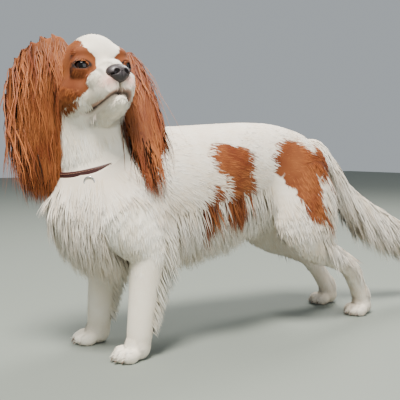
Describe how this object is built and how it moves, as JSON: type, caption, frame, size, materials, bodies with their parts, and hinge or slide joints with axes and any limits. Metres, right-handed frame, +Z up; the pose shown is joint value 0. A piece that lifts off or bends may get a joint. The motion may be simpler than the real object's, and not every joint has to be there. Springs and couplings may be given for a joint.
{
  "type": "standing dog model",
  "caption": "Life-size standing cavalier king charles spaniel, head raised and turned to its left, long wavy ears, feathered legs and plumed tail, with a leather collar.",
  "frame": {"origin": "on the floor, below the middle of the whole model", "axes": "+X towards the left side of the dog, -Y the way its body faces, +Z up"},
  "size_m": [0.1862, 0.7172, 0.4237],
  "materials": {
    "white_coat": "long silky white hair with chestnut patches",
    "chestnut_coat": "silky chestnut hair",
    "nose_leather": "moist pebbled skin",
    "eye": "wet gloss",
    "collar_leather": "dark red-brown, worn satin",
    "steel": "polished"
  },
  "bodies": {
    "root": {"chest": "white_coat", "barrel": "white_coat", "rump": "white_coat", "neck": "white_coat", "head": "chestnut_coat", "jaw": "white_coat", "nose": "nose_leather", "eye_left": "eye", "eye_right": "eye", "ear_left": "chestnut_coat", "ear_right": "chestnut_coat", "tail": "white_coat", "foreleg_left": "white_coat", "thigh_left": "white_coat", "shank_left": "white_coat", "forepaw_left": "white_coat", "hindpaw_left": "white_coat", "foreleg_right": "white_coat", "thigh_right": "white_coat", "shank_right": "white_coat", "forepaw_right": "white_coat", "hindpaw_right": "white_coat", "collar": "collar_leather", "collar_ring": "steel"}
  },
  "joints": []
}
